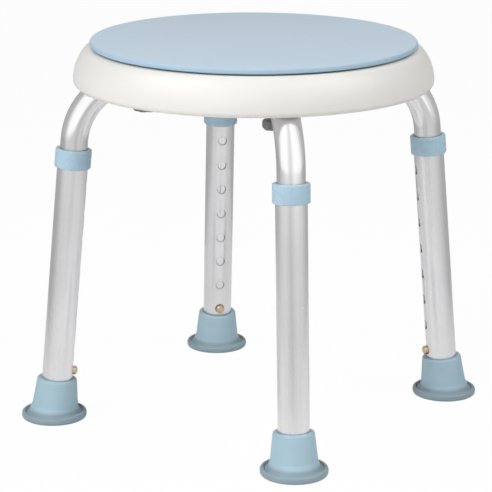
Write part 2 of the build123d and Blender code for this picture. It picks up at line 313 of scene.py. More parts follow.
class Shader:
    """Adds and links nodes in one node tree.

    Attributes:
        node_gap: Distance between nodes in the editor.
        edge_samples: Samples of each rounded edge.
        tree: The node tree.
    """

    node_gap: int = 190
    edge_samples: int = 4

    def __init__(self, tree: bpy.types.NodeTree) -> None:
        """Starts on an empty tree."""
        self.tree = tree

    def feed(self, node: bpy.types.Node, values: dict[Any, SocketValue]) -> None:
        """Sets a node's inputs.

        Args:
            node: The node.
            values: Constants or sockets, by the input's name or number.
        """
        for key, value in values.items():
            if isinstance(value, bpy.types.NodeSocket):
                self.tree.links.new(value, node.inputs[key])
            else:
                node.inputs[key].default_value = value

    def add(self, kind: str, values: Optional[dict[Any, SocketValue]] = None,
            **settings: Any) -> bpy.types.Node:
        """Adds one node.

        Args:
            kind: The node's type.
            values: Constants or sockets for its inputs, by name or number.
            settings: The node's own properties.

        Returns:
            The new node.
        """
        node = self.tree.nodes.new(kind)
        node.location = (self.node_gap * len(self.tree.nodes), 0)
        for key, value in settings.items():
            setattr(node, key, value)
        self.feed(node, values or {})
        return node

    def effect(self, group: bpy.types.NodeTree, **values: SocketValue) -> bpy.types.Node:
        """Places a node group, with its inputs given by name."""
        return self.add("ShaderNodeGroup", values, node_tree=group)

    def blend(self, factor: SocketValue, first: SocketValue, second: SocketValue,
              way: str = "MIX") -> bpy.types.NodeSocket:
        """Mixes two colours.

        Args:
            factor: Share of the second colour.
            first: First colour.
            second: Second colour.
            way: Blend type.

        Returns:
            The mixed colour's socket.
        """
        mix = self.add("ShaderNodeMix", data_type="RGBA", blend_type=way)
        self.feed(mix, {MIX_SHARE: factor, MIX_FIRST: first, MIX_SECOND: second})
        return mix.outputs[MIX_RESULT]

    def figure(self, way: str, first: SocketValue, second: SocketValue = 0.0) -> bpy.types.NodeSocket:
        """Works out one number from two."""
        return self.add("ShaderNodeMath", {0: first, 1: second}, operation=way).outputs[0]

    def remap(self, value: SocketValue, old: tuple[float, float], new: Sequence[SocketValue],
              smooth: bool = False) -> bpy.types.NodeSocket:
        """Takes a value from one range to another, held at its ends.

        Args:
            value: The value.
            old: The range that it has.
            new: The range that it gets, as constants or sockets.
            smooth: Whether to ease in and out.

        Returns:
            The new value's socket.
        """
        values = {0: value, 1: old[0], 2: old[1], 3: new[0], 4: new[1]}
        easing = "SMOOTHSTEP" if smooth else "LINEAR"
        return self.add("ShaderNodeMapRange", values, interpolation_type=easing).outputs[0]

    def spot(self) -> bpy.types.NodeSocket:
        """Place on the piece, in its own axes."""
        return self.add("ShaderNodeTexCoord").outputs["Object"]

    def parts(self, vector: bpy.types.NodeSocket) -> bpy.types.bpy_prop_collection:
        """The X, Y and Z of a vector, by name."""
        return self.add("ShaderNodeSeparateXYZ", {"Vector": vector}).outputs

    def noise(self, spot: bpy.types.NodeSocket, scale: SocketValue, detail: float,
              roughness: float = 0.5) -> bpy.types.bpy_prop_collection:
        """Cloudy pattern.

        Args:
            spot: Where it is looked up.
            scale: Clouds per metre.
            detail: Finer layers that are added.
            roughness: Strength of the finer layers.

        Returns:
            The pattern's outputs, by name.
        """
        return self.add("ShaderNodeTexNoise", {
            "Vector": spot, "Scale": scale, "Detail": detail, "Roughness": roughness}).outputs

    def rounded(self, radius: SocketValue) -> bpy.types.NodeSocket:
        """Normal that is rounded at sharp edges."""
        bevel = self.add("ShaderNodeBevel", {"Radius": radius}, samples=self.edge_samples)
        return bevel.outputs["Normal"]

    def bump(self, height: SocketValue, depth: float, edge_radius: float = 0.0) -> bpy.types.NodeSocket:
        """Normal of a fine relief.

        Args:
            height: Height of the relief, from nought to one.
            depth: Its depth.
            edge_radius: Radius that sharp edges appear to have.

        Returns:
            The normal's socket.
        """
        values = {"Strength": 1.0, "Distance": depth, "Height": height}
        if edge_radius:
            values["Normal"] = self.rounded(edge_radius)
        return self.add("ShaderNodeBump", values).outputs["Normal"]


def blank(owner: Union[bpy.types.Material, bpy.types.World]) -> Shader:
    """Empties the nodes of a material or world, and gives a helper on them."""
    owner.use_nodes = True
    owner.node_tree.nodes.clear()
    return Shader(owner.node_tree)


def new_effect(name: str, inputs: dict[str, str], outputs: dict[str, str]) -> tuple[Shader, Any, Any]:
    """Starts a node group.

    Args:
        name: Name of the group.
        inputs: Socket types by name.
        outputs: Socket types by name.

    Returns:
        The group's shader helper, the sockets that it is given and its output node.
    """
    tree = bpy.data.node_groups.new(name, "ShaderNodeTree")
    for way, sockets in (("INPUT", inputs), ("OUTPUT", outputs)):
        for label, kind in sockets.items():
            tree.interface.new_socket(label, in_out=way, socket_type=f"NodeSocket{kind}")
    shader = Shader(tree)
    return shader, shader.add("NodeGroupInput").outputs, shader.add("NodeGroupOutput")


@dataclass
class Effects:
    """Node groups that several finishes share, each built once.

    Attributes:
        detail: Finer layers in a plain noise.
        fine_detail: Finer layers in a detailed noise.
        pit_roughness: Strength of the finer layers in a mould's pits.
        wave_scale: Scale of a mould's waves, as a share of the pits'.
        corner_shade_span: Openness between which the painted shade and film in corners fades.
        corner_shade_samples: Samples of that openness.
        wear_highlight_span: Likeness of rounded and plain normals between which the edge wear and painted
            highlight fade.
        wear_highlight_patches: Patches of edge wear and painted highlight per metre.
        wear_highlight_patch_span: Noise between which the patches fade.
        wear_highlight_patch_levels: Strength of the edge wear and painted highlight between and in the
            patches.
        line_roughness: Strength of the finer layers in die lines.
        broad_lines: Scale of the broad streaks, as a share of the fine lines'.
        scuff_bends: Bends of the scratches per metre.
        scuff_bend: How far the scratches are bent.
        scuff_width: Width of a scratch, as a share of the cell that it borders.
        scuff_patches: Patches of scratches per metre.
        scuff_patch_span: Noise between which the patches fade.
    """

    detail: float = 2.0
    fine_detail: float = 3.0
    pit_roughness: float = 0.6
    wave_scale: float = 0.12
    corner_shade_span: tuple[float, float] = (0.25, 0.85)
    corner_shade_samples: int = 8
    wear_highlight_span: tuple[float, float] = (0.86, 0.995)
    wear_highlight_patches: float = 160.0
    wear_highlight_patch_span: tuple[float, float] = (0.35, 0.6)
    wear_highlight_patch_levels: tuple[float, float] = (0.35, 1.0)
    line_roughness: float = 0.65
    broad_lines: float = 0.22
    scuff_bends: float = 30.0
    scuff_bend: float = 0.02
    scuff_width: float = 0.018
    scuff_patches: float = 55.0
    scuff_patch_span: tuple[float, float] = (0.52, 0.68)

    def __post_init__(self) -> None:
        """Builds every group."""
        self.mottle = self.build_mottle()
        self.grain = self.build_grain()
        self.corner_shade_film = self.build_corner_shade_film()
        self.edge_wear_and_highlight = self.build_edge_wear_and_highlight()
        self.drawn_lines = self.build_drawn_lines()
        self.scuffs = self.build_scuffs()

    def build_mottle(self) -> bpy.types.NodeTree:
        """Slow drift of a moulded colour, lighter and darker.

        Returns:
            A group from Colour, Scale and Amount to Colour.
        """
        shader, given, result = new_effect(
            "mottle", {"Colour": "Color", "Scale": "Float", "Amount": "Float"}, {"Colour": "Color"})
        clouds = shader.noise(shader.spot(), given["Scale"], self.fine_detail)
        low = shader.figure("SUBTRACT", 1.0, given["Amount"])
        high = shader.figure("ADD", 1.0, given["Amount"])
        level = shader.remap(clouds["Fac"], NOISE_SPAN, (low, high))
        shader.feed(result, {"Colour": shader.blend(1.0, given["Colour"], level, "MULTIPLY")})
        return shader.tree

    def build_grain(self) -> bpy.types.NodeTree:
        """Fine pitted texture of a spark-eroded or blasted mould.

        Returns:
            A group from Scale and Coarse to Height and Polish.
        """
        shader, given, result = new_effect(
            "grain", {"Scale": "Float", "Coarse": "Float"}, {"Height": "Float", "Polish": "Float"})
        spot = shader.spot()
        pits = shader.noise(spot, given["Scale"], self.detail, self.pit_roughness)
        wide_scale = shader.figure("MULTIPLY", given["Scale"], self.wave_scale)
        wide = shader.noise(spot, wide_scale, self.detail)
        waves = shader.figure("MULTIPLY", wide["Fac"], given["Coarse"])
        height = shader.figure("ADD", pits["Fac"], waves)
        shader.feed(result, {"Height": height, "Polish": shader.remap(wide["Fac"], NOISE_SPAN, UNIT)})
        return shader.tree

    def build_corner_shade_film(self) -> bpy.types.NodeTree:
        """Painted shade, darker where pieces meet and in corners, partly a real film and tarnish there.

        Returns:
            A group from Colour, Film, Reach and Amount to Colour and Mask.
        """
        shader, given, result = new_effect(
            "corner_shade_and_film",
            {"Colour": "Color", "Film": "Color", "Reach": "Float", "Amount": "Float"},
            {"Colour": "Color", "Mask": "Float"})
        # Painted shade: ambient occlusion darkens the colour where the surface is closed in.
        open_sky = shader.add("ShaderNodeAmbientOcclusion", {"Distance": given["Reach"]},
                              samples=self.corner_shade_samples)
        closed = shader.remap(open_sky.outputs["AO"], self.corner_shade_span, FADING, smooth=True)
        mask = shader.figure("MULTIPLY", closed, given["Amount"])
        shader.feed(result, {"Colour": shader.blend(mask, given["Colour"], given["Film"]), "Mask": mask})
        return shader.tree

    def build_edge_wear_and_highlight(self) -> bpy.types.NodeTree:
        """Edges made lighter, partly worn by hands and handling and partly a painted highlight.

        Returns:
            A group from Colour, Rubbed, Radius and Amount to Colour and Mask.
        """
        shader, given, result = new_effect(
            "edge_wear_and_highlight",
            {"Colour": "Color", "Rubbed": "Color", "Radius": "Float", "Amount": "Float"},
            {"Colour": "Color", "Mask": "Float"})
        # Painted highlight and wear: lighter where the rounded normal turns from the plain one at edges.
        plain = shader.add("ShaderNodeNewGeometry").outputs["Normal"]
        likeness = shader.add("ShaderNodeVectorMath", {
            0: shader.rounded(given["Radius"]), 1: plain}, operation="DOT_PRODUCT")
        bent = shader.remap(likeness.outputs["Value"], self.wear_highlight_span, FADING)
        patches = shader.noise(shader.spot(), self.wear_highlight_patches, self.fine_detail)
        broken = shader.remap(patches["Fac"], self.wear_highlight_patch_span, self.wear_highlight_patch_levels)
        strength = shader.figure("MULTIPLY", bent, given["Amount"])
        mask = shader.figure("MULTIPLY", strength, broken)
        shader.feed(result, {"Colour": shader.blend(mask, given["Colour"], given["Rubbed"]), "Mask": mask})
        return shader.tree

    def build_drawn_lines(self) -> bpy.types.NodeTree:
        """Lines that a drawing die leaves along a tube.

        Returns:
            A group from Vector, Around and Along to Height and Streak.
        """
        shader, given, result = new_effect(
            "drawn_lines", {"Vector": "Vector", "Around": "Float", "Along": "Float"},
            {"Height": "Float", "Streak": "Float"})
        stretch = shader.add("ShaderNodeCombineXYZ", {
            "X": given["Around"], "Y": given["Around"], "Z": given["Along"]})
        stretched = shader.add("ShaderNodeVectorMath", {
            0: given["Vector"], 1: stretch.outputs["Vector"]}, operation="MULTIPLY").outputs["Vector"]
        fine = shader.noise(stretched, 1.0, self.fine_detail, self.line_roughness)
        broad = shader.noise(stretched, self.broad_lines, self.detail)
        streak = shader.remap(broad["Fac"], NOISE_SPAN, UNIT, smooth=True)
        shader.feed(result, {"Height": fine["Fac"], "Streak": streak})
        return shader.tree

    def build_scuffs(self) -> bpy.types.NodeTree:
        """Thin short scratches in all directions.

        Returns:
            A group from Scale and Amount to Mask.
        """
        shader, given, result = new_effect(
            "scuffs", {"Scale": "Float", "Amount": "Float"}, {"Mask": "Float"})
        spot = shader.spot()
        bends = shader.noise(spot, self.scuff_bends, self.detail)
        push = (self.scuff_bend, self.scuff_bend, self.scuff_bend)
        pushed = shader.add("ShaderNodeVectorMath", {0: bends["Color"], 1: push, 2: spot},
                            operation="MULTIPLY_ADD")
        cells = shader.add("ShaderNodeTexVoronoi", {
            "Vector": pushed.outputs["Vector"], "Scale": given["Scale"]}, feature="DISTANCE_TO_EDGE")
        lines = shader.remap(cells.outputs["Distance"], (0.0, self.scuff_width), FADING)
        patches = shader.noise(spot, self.scuff_patches, self.detail)
        some = shader.remap(patches["Fac"], self.scuff_patch_span, UNIT)
        shown = shader.figure("MULTIPLY", lines, some)
        shader.feed(result, {"Mask": shader.figure("MULTIPLY", shown, given["Amount"])})
        return shader.tree


# Finishes


def start_material(name: str) -> tuple[bpy.types.Material, Shader, bpy.types.Node]:
    """Starts a material with one Principled shader.

    Args:
        name: Name of the material.

    Returns:
        The material, a shader helper on its tree and the Principled node.
    """
    material = bpy.data.materials.new(name)
    shader = blank(material)
    principled = shader.add("ShaderNodeBsdfPrincipled")
    shader.add("ShaderNodeOutputMaterial", {"Surface": principled.outputs["BSDF"]})
    return material, shader, principled


def opaque(colour: Colour) -> tuple[float, float, float, float]:
    """The colour with full alpha."""
    return (*colour, 1.0)


@dataclass(frozen=True)
class Finish:
    """What every finish has: a colour with its wear, painted shade and painted highlight, and a fine
    relief.

    Attributes:
        slot: The record's slot for this finish.
        colour: Linear base colour.
        roughness: Least and greatest roughness.
        metallic: One for bare metal.
        ior: Refractive index.
        sheen: Soft glow at grazing angles.
        mottle: Size and strength of the slow colour drift.
        grain: Pits per metre of the texture.
        coarse: Strength of the texture's broad waves.
        relief: Depth of the texture.
        shade_and_film_colour: Colour of the painted shade in corners, partly a real film there.
        corner_shade_reach: How far from a corner that shows.
        corner_shade_amount: How strongly it shows.
        worn_highlight_colour: Colour of edges lightened by wear and a painted highlight, if it isn't the
            base colour.
        wear_highlight_amount: How strongly edges are lightened by wear and painted highlight.
        wear_highlight_reach: How far that reaches, as a share of the edge's radius.
        edge_radius: Radius that sharp edges appear to have.
        scuff_scale: Scratches per metre.
        scuff_amount: How many scratches show.
        scuff_wear: How much rougher a scratch is.
    """

    slot: Slot
    colour: Colour
    roughness: tuple[float, float]
    metallic: float = 0.0
    ior: float = 1.5
    sheen: float = 0.0
    mottle: tuple[float, float] = (14.0, 0.02)
    grain: float = 1400.0
    coarse: float = 0.5
    relief: float = 0.00003
    shade_and_film_colour: Colour = (0.30, 0.29, 0.27)
    corner_shade_reach: float = 0.006
    corner_shade_amount: float = 0.25
    worn_highlight_colour: Optional[Colour] = None
    wear_highlight_amount: float = 0.0
    wear_highlight_reach: float = 1.5
    edge_radius: float = 0.0
    scuff_scale: float = 120.0
    scuff_amount: float = 0.0
    scuff_wear: float = 0.12

    def base_colour(self, shader: Shader) -> SocketValue:
        """Colour before the shared effects, as a constant or as a socket of the given tree."""
        return opaque(self.colour)

    def texture(self, shader: Shader, effects: Effects) -> tuple[SocketValue, SocketValue]:
        """Fine texture of the surface.

        Args:
            shader: Helper on the material's tree.
            effects: Shared node groups.

        Returns:
            The relief's height, and a polish from nought to one.
        """
        grain = shader.effect(effects.grain, Scale=self.grain, Coarse=self.coarse)
        return grain.outputs["Height"], grain.outputs["Polish"]

    def material(self, effects: Effects) -> bpy.types.Material:
        """Builds the material.

        Args:
            effects: Shared node groups.

        Returns:
            The material.
        """
        material, shader, principled = start_material(self.slot.value)
        drift = shader.effect(effects.mottle, Colour=self.base_colour(shader),
                              Scale=self.mottle[0], Amount=self.mottle[1])
        # Painted shade in corners and where pieces meet, partly real film.
        shaded_and_worn = shader.effect(effects.corner_shade_film, Colour=drift.outputs["Colour"], Film=opaque(self.shade_and_film_colour),
                             Reach=self.corner_shade_reach, Amount=self.corner_shade_amount)
        # Lighter edges, partly wear and partly a painted highlight.
        if self.wear_highlight_amount:
            shaded_and_worn = shader.effect(effects.edge_wear_and_highlight, Colour=shaded_and_worn.outputs["Colour"],
                                 Rubbed=opaque(self.worn_highlight_colour or self.colour), Amount=self.wear_highlight_amount,
                                 Radius=self.edge_radius * self.wear_highlight_reach)
        height, polish = self.texture(shader, effects)
        roughness = shader.remap(polish, UNIT, self.roughness)
        if self.scuff_amount:
            scuffs = shader.effect(effects.scuffs, Scale=self.scuff_scale, Amount=self.scuff_amount)
            scratched = shader.figure("MULTIPLY", scuffs.outputs["Mask"], self.scuff_wear)
            roughness = shader.figure("ADD", roughness, scratched)
        shader.feed(principled, {
            "Base Color": shaded_and_worn.outputs["Colour"],
            "Roughness": roughness,
            "Normal": shader.bump(height, self.relief, self.edge_radius),
            "Metallic": self.metallic,
            "IOR": self.ior,
            "Sheen Weight": self.sheen,
        })
        return material


@dataclass(frozen=True)
class Moulded(Finish):
    """Moulded plastic or rubber.

    Attributes:
        shaded_side_colour: Darker colour of the sides around the top, a painted shade, if it differs.
        side_shade_span: Upward share of the normal between which the painted side shade gives way to the
            top.
        floor_darkening: How strongly the colour darkens towards the floor, to the corner colour.
        floor_darkening_height: How far up from the floor that darkening reaches.
        floor_darkening_fade: Share of that height from which it fades.
    """

    ior: float = 1.47
    worn_highlight_colour: Optional[Colour] = (0.9, 0.9, 0.9)
    wear_highlight_amount: float = 0.12
    edge_radius: float = 0.0008
    scuff_amount: float = 0.15
    shaded_side_colour: Optional[Colour] = None
    side_shade_span: tuple[float, float] = (0.55, 0.95)
    floor_darkening: float = 0.0
    floor_darkening_height: float = 0.0075
    floor_darkening_fade: float = 0.6

    def base_colour(self, shader: Shader) -> SocketValue:
        """Colour before the shared effects, with the painted shade on the sides and the darkening towards
        the floor.

        Args:
            shader: Helper on the material's tree.

        Returns:
            A constant colour, or the socket of one that changes over the surface.
        """
        colour: SocketValue = opaque(self.colour)
        # Painted shade: sides darker than the top, by the way the surface faces.
        if self.shaded_side_colour:
            normal = shader.add("ShaderNodeNewGeometry").outputs["Normal"]
            unshaded_top = shader.remap(shader.parts(normal)["Z"], self.side_shade_span, UNIT, smooth=True)
            colour = shader.blend(unshaded_top, opaque(self.shaded_side_colour), colour)
        # Darker towards the floor.
        if self.floor_darkening:
            fade = (self.floor_darkening_fade * self.floor_darkening_height, self.floor_darkening_height)
            height = shader.parts(shader.spot())["Z"]
            darkened = shader.remap(height, fade, (self.floor_darkening, 0.0), smooth=True)
            colour = shader.blend(darkened, colour, opaque(self.shade_and_film_colour))
        return colour


@dataclass(frozen=True)
class DrawnTube(Finish):
    """Drawn and anodised or polished tube.

    Attributes:
        around: Die lines per metre around the tube.
        along: How quickly the lines change along the tube.
        straightened: Whether the mesh carries straightened places for a bent tube.
    """

    metallic: float = 1.0
    mottle: tuple[float, float] = (22.0, 0.025)
    relief: float = 0.000006
    shade_and_film_colour: Colour = (0.16, 0.16, 0.165)
    corner_shade_reach: float = 0.004
    corner_shade_amount: float = 0.3
    scuff_scale: float = 90.0
    scuff_amount: float = 0.25
    scuff_wear: float = 0.15
    around: float = 900.0
    along: float = 6.0
    straightened: bool = False

    def texture(self, shader: Shader, effects: Effects) -> tuple[SocketValue, SocketValue]:
        """Die lines along the tube.

        Args:
            shader: Helper on the material's tree.
            effects: Shared node groups.

        Returns:
            The lines' height, and their streaks from nought to one.
        """
        spot = shader.spot()
        if self.straightened:
            spot = shader.add("ShaderNodeAttribute", attribute_name=STRAIGHTENED).outputs["Vector"]
        lines = shader.effect(effects.drawn_lines, Vector=spot, Around=self.around, Along=self.along)
        return lines.outputs["Height"], lines.outputs["Streak"]


@dataclass(frozen=True)
class TurnedMetal(Finish):
    """Small metal piece, machined or pressed, with tarnish and painted shade in its corners."""

    metallic: float = 1.0
    mottle: tuple[float, float] = (220.0, 0.06)
    grain: float = 2600.0
    coarse: float = 0.4
    relief: float = 0.000008
    corner_shade_reach: float = 0.002
    corner_shade_amount: float = 0.6
    wear_highlight_amount: float = 0.5
    edge_radius: float = 0.0004


FINISHES: tuple[Finish, ...] = (
    Moulded(Slot.SEAT, (0.845, 0.825, 0.79), (0.36, 0.46), mottle=(9.0, 0.012), grain=900.0,
            relief=0.000025, shade_and_film_colour=(0.42, 0.41, 0.39), corner_shade_amount=0.35, edge_radius=0.0012),
    # The plate's sides get a painted shade, darker than its top.
    Moulded(Slot.PLATE, (0.525, 0.645, 0.745), (0.48, 0.58), mottle=(11.0, 0.015), grain=1500.0,
            relief=0.00006, worn_highlight_colour=(0.62, 0.74, 0.82), shaded_side_colour=(0.40, 0.57, 0.71)),
    # The collar's light edge lines are a painted highlight.
    Moulded(Slot.COLLAR, (0.445, 0.63, 0.755), (0.24, 0.32), mottle=(40.0, 0.02),
            worn_highlight_colour=(0.72, 0.82, 0.88), wear_highlight_amount=0.7, edge_radius=0.0010),
    # The foot's dark crease and joints are painted shade; it also darkens towards the floor.
    Moulded(Slot.FOOT, (0.41, 0.58, 0.675), (0.46, 0.58), mottle=(30.0, 0.03), grain=1100.0,
            relief=0.00005, shade_and_film_colour=(0.20, 0.25, 0.27), corner_shade_amount=0.40, worn_highlight_colour=(0.5, 0.62, 0.70),
            sheen=0.1, floor_darkening=0.62, floor_darkening_height=0.0115),
    Moulded(Slot.KNOB, (0.20, 0.20, 0.195), (0.36, 0.46), mottle=(60.0, 0.06), grain=1800.0,
            shade_and_film_colour=(0.04, 0.04, 0.04), worn_highlight_colour=(0.22, 0.22, 0.22), wear_highlight_amount=0.3),
    Moulded(Slot.SADDLE, (0.15, 0.15, 0.15), (0.42, 0.52), mottle=(60.0, 0.05),
            worn_highlight_colour=(0.24, 0.24, 0.24)),
    Moulded(Slot.PLUG, (0.13, 0.13, 0.13), (0.4, 0.5), mottle=(60.0, 0.05),
            worn_highlight_colour=(0.22, 0.22, 0.22)),
    Moulded(Slot.GLIDE, (0.78, 0.78, 0.76), (0.28, 0.36), mottle=(30.0, 0.02)),
    Moulded(Slot.BUSH, (0.76, 0.75, 0.71), (0.3, 0.4), mottle=(60.0, 0.03)),
    DrawnTube(Slot.UPPER_TUBE, (0.80, 0.795, 0.805), (0.13, 0.20), straightened=True),
    DrawnTube(Slot.LOWER_TUBE, (0.84, 0.835, 0.845), (0.26, 0.34), relief=0.000008),
    # The button's dark corners are partly tarnish and partly painted shade.
    TurnedMetal(Slot.BUTTON, (0.62, 0.49, 0.32), (0.28, 0.40), shade_and_film_colour=(0.13, 0.085, 0.045),
                corner_shade_amount=0.85),
    TurnedMetal(Slot.NUT, (0.70, 0.55, 0.30), (0.3, 0.4), shade_and_film_colour=(0.25, 0.18, 0.09)),
    TurnedMetal(Slot.CLIP, (0.52, 0.53, 0.55), (0.26, 0.36), shade_and_film_colour=(0.12, 0.12, 0.13)),
    TurnedMetal(Slot.FASTENER, (0.62, 0.62, 0.63), (0.24, 0.34), shade_and_film_colour=(0.16, 0.16, 0.17)),
)


class Wardrobe:
    """Every finish as a material, and the dressing of pieces in them."""

    def __init__(self, effects: Effects) -> None:
        """Builds one material for each finish."""
        self.materials = {finish.slot: finish.material(effects) for finish in FINISHES}

    def dress_node(self, name: str, slot: Slot) -> None:
        """Gives a carried-over CAD node its finish.

        Args:
            name: The node.
            slot: The finish.
        """
        mesh = frame["nodes"][name].data
        mesh.materials.clear()
        mesh.materials.append(self.materials[slot])
        log.info("node %s in %s", name, slot.value)

    def dress_piece(self, piece: bpy.types.Object, slot: Slot, body: str, *nodes: str) -> None:
        """Gives a new piece its finish and its body, and hides the nodes that it stands for.

        Args:
            piece: The piece.
            slot: The finish.
            body: The CAD body that it moves with.
            nodes: The CAD nodes that it replaces.
        """
        piece.data.materials.append(self.materials[slot])
        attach(piece, body)
        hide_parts(*nodes)
        log.info("piece %s in %s on %s", piece.name, slot.value, body)


# Places taken from the frame


def span(node: str, place: Matrix) -> tuple[Vector, Vector]:
    """Lowest and highest corner of a CAD node in a place's own axes.

    Args:
        node: The node.
        place: The axes.

    Returns:
        The two corners.
    """
    inverse = place.inverted()
    points = [inverse @ vertex.co for vertex in frame["nodes"][node].data.vertices]
    low = Vector([min(point[axis] for point in points) for axis in range(3)])
    high = Vector([max(point[axis] for point in points) for axis in range(3)])
    return low, high


def axes(x_axis: Vector, z_axis: Vector, origin: Vector) -> Matrix:
    """Matrix with the given X and Z axes and origin."""
    y_axis = z_axis.cross(x_axis)
    turned = Matrix((x_axis, y_axis, z_axis)).transposed().to_4x4()
    return Matrix.Translation(origin) @ turned


@dataclass(frozen=True)
class Stance:
    """Where one leg stands.

    Attributes:
        leg: Axes with Z up along the leg, X towards the stool axis, origin on the floor.
        foot: Axes with Z upright, X towards the stool axis, origin on the floor.
        lean: Angle between the leg and the vertical.
    """

    leg: Matrix
    foot: Matrix
    lean: float

    @classmethod
    def of(cls, side: Side) -> "Stance":
        """Reads a leg's stance from the record.

        Args:
            side: The leg.

        Returns:
            Its stance.
        """
        joint = next(j for j in frame["joints"] if j["name"] == side.node("leg_slide"))
        mount = next(m for m in frame["record"]["mounts"] if m["name"] == side.node("foot_sole"))
        origin = Vector(mount["pos_m"])
        up = -Vector(joint["axis"]).normalized()
        vertical = Vector((0.0, 0.0, 1.0))
        inwards = -origin.normalized()
        across = (inwards - up * inwards.dot(up)).normalized()
        return cls(axes(across, up, origin), axes(inwards, vertical, origin), up.angle(vertical))


# The stool


@dataclass
class Seat:
    """Seat shell with its turning top plate and pivot.

    Attributes:
        wardrobe: The finishes.
        top_rounding: Rolled upper edge of the plate.
        bottom_rounding: Lower edge of the plate.
        hub_radius: Hub under the plate.
        clearance: Glide ring to the plate's underside.
        segments: Steps around the plate.
        arc_steps: Steps in each rounded edge.
    """

    wardrobe: Wardrobe
    top_rounding: float = 0.0020
    bottom_rounding: float = 0.0014
    hub_radius: float = 0.0140
    clearance: float = 0.00005
    segments: int = 192
    arc_steps: int = 8

    def build(self) -> None:
        """Builds the plate and dresses the seat."""
        self.build_plate()
        for name, slot in (
            ("seat_shell", Slot.SEAT), ("seat_nuts", Slot.NUT), ("glide_ring", Slot.GLIDE),
            ("pivot_bush", Slot.BUSH), ("plate_insert", Slot.NUT),
            ("pivot_screw", Slot.FASTENER), ("pivot_washer", Slot.FASTENER),
        ):
            self.wardrobe.dress_node(name, slot)

    def build_plate(self) -> None:
        """Turns the swivel plate."""
        low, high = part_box("swivel_plate")
        insert_low, insert_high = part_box("plate_insert")
        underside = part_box("glide_ring")[1].z + self.clearance
        edge = (high.x - low.x) / 2
        insert_radius = (insert_high.x - insert_low.x) / 2
        outline = soften([
            Corner(0.0, high.z),
            Corner(edge, high.z, self.top_rounding),
            Corner(edge, underside, self.bottom_rounding),
            Corner(self.hub_radius, underside),
            Corner(self.hub_radius, low.z),
            Corner(insert_radius, low.z),
            Corner(insert_radius, insert_high.z),
            Corner(0.0, insert_high.z),
        ], closed=False, steps=self.arc_steps)
        surface = Surface()
        surface.turn(outline, self.segments, closed=False)
        plate = surface.make("swivel_plate_top", Matrix.Identity(4))
        self.wardrobe.dress_piece(plate, Slot.PLATE, "top_plate", "swivel_plate")


@dataclass
class LegPart:
    """What the sets of pieces on one leg have in common.

    Attributes:
        side: The leg.
        stance: Where it stands.
        wardrobe: The finishes.
    """

    side: Side
    stance: Stance
    wardrobe: Wardrobe

    def span(self, piece: str) -> tuple[Vector, Vector]:
        """Lowest and highest corner of one of the leg's nodes, in the leg's axes."""
        return span(self.side.node(piece), self.stance.leg)

    def radius(self, piece: str) -> float:
        """Outside radius of one of the leg's round nodes."""
        low, high = self.span(piece)
        return (high.y - low.y) / 2

    def dress(self, made: bpy.types.Object, slot: Slot, body: str, piece: str) -> None:
        """Gives a new piece its finish and its body, in the place of one of the leg's nodes.

        Args:
            made: The new piece.
            slot: The finish.
            body: The CAD body that it moves with.
            piece: The node that it replaces, without the leg's name.
        """
        self.wardrobe.dress_piece(made, slot, body, self.side.node(piece))

    def dress_inside(self, **slots: Slot) -> None:
        """Gives the leg's carried-over nodes their finishes, by the nodes' names."""
        for piece, slot in slots.items():
            self.wardrobe.dress_node(self.side.node(piece), slot)


